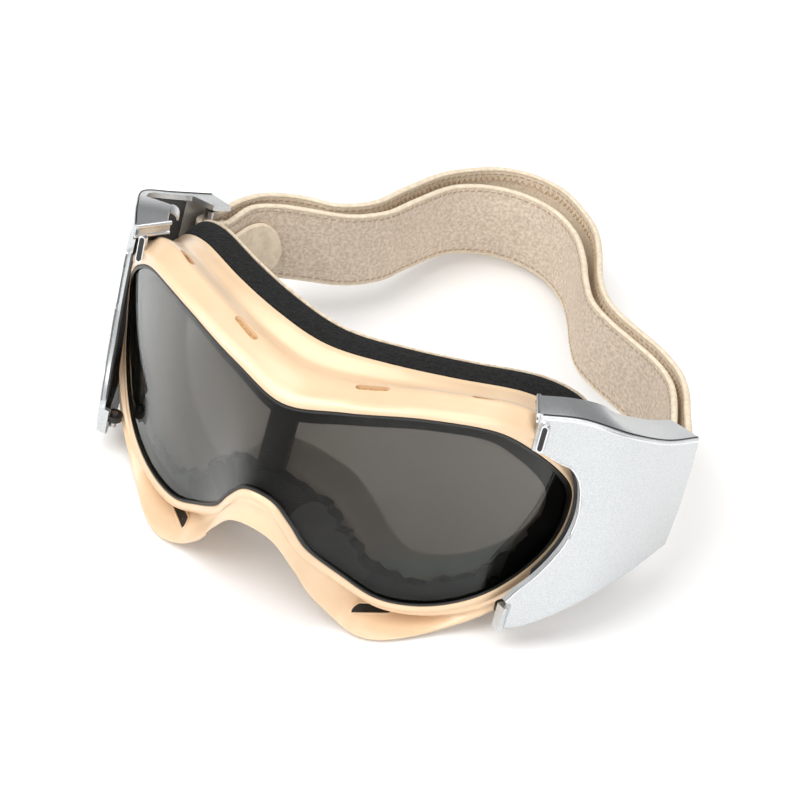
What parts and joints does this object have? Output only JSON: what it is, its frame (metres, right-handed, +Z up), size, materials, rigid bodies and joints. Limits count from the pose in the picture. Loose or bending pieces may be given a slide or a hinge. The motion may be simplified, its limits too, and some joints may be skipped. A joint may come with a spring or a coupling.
{
  "type": "protective goggles",
  "caption": "Wrap-around goggles with a one-piece tinted double lens, a vented frame, a foam face pad, pivoting side arms and a doubled head strap.",
  "frame": {"origin": "point on the middle line at mid-height of the lens, where the wearer's face meets the face pad", "axes": "+X to the right when the goggles are seen from the front, which is the wearer's left. The front faces -Y and the strap runs back to +Y. +Z is up from the level that the goggles rest on; the lens leans back by 10 degrees."},
  "size_m": [0.2181, 0.24, 0.1073],
  "materials": {
    "frame": "satin, cream",
    "gasket": "matt black",
    "lens_outer": "glossy, dark tint",
    "lens_inner": "clear, light tint",
    "vent_foam": "open foam, tan",
    "face_foam": "soft foam, black",
    "fleece": "brushed fleece, beige",
    "arm_metal": "fine metallic silver",
    "pin_steel": "brushed",
    "strap_outer": "woven, stitched",
    "strap_inner": "velour",
    "strap_tab": "smooth, rounded"
  },
  "bodies": {
    "frame": {"frame_shell": "frame", "lens_seal": "gasket", "outer_lens": "lens_outer", "lens_spacer": "gasket", "centre_band": "gasket", "inner_lens": "lens_inner", "brow_vent_foam": "vent_foam", "lobe_vent_foam_left": "face_foam", "lobe_vent_foam_right": "face_foam", "face_foam": "face_foam", "face_fleece": "fleece", "upper_clip_left": "arm_metal", "upper_clip_right": "arm_metal", "lower_clip_left": "arm_metal", "lower_clip_right": "arm_metal", "hinge_pins_left": "pin_steel", "hinge_pins_right": "pin_steel", "strap_inner": "strap_inner", "strap_outer": "strap_outer", "strap_tab": "strap_tab"},
    "arm_left": {"arm_shell_left": "arm_metal", "arm_lining_left": "gasket", "strap_bar_left": "pin_steel", "strap_end_left": "strap_outer"},
    "arm_right": {"arm_shell_right": "arm_metal", "arm_lining_right": "gasket", "strap_bar_right": "pin_steel", "strap_end_right": "strap_outer"}
  },
  "joints": [
    {"name": "arm_left_hinge", "type": "hinge", "parent": "frame", "child": "arm_left", "pos_m": [-0.082, -0.00098, 0.00017], "axis": [0, 0.1736, 0.9848], "range_deg": [0, 30], "deforming": ["strap_inner", "strap_outer", "strap_tab"]},
    {"name": "arm_right_hinge", "type": "hinge", "parent": "frame", "child": "arm_right", "pos_m": [0.082, -0.00098, 0.00017], "axis": [0, -0.1736, -0.9848], "range_deg": [-26, 4], "deforming": ["strap_inner", "strap_outer", "strap_tab"]}
  ]
}
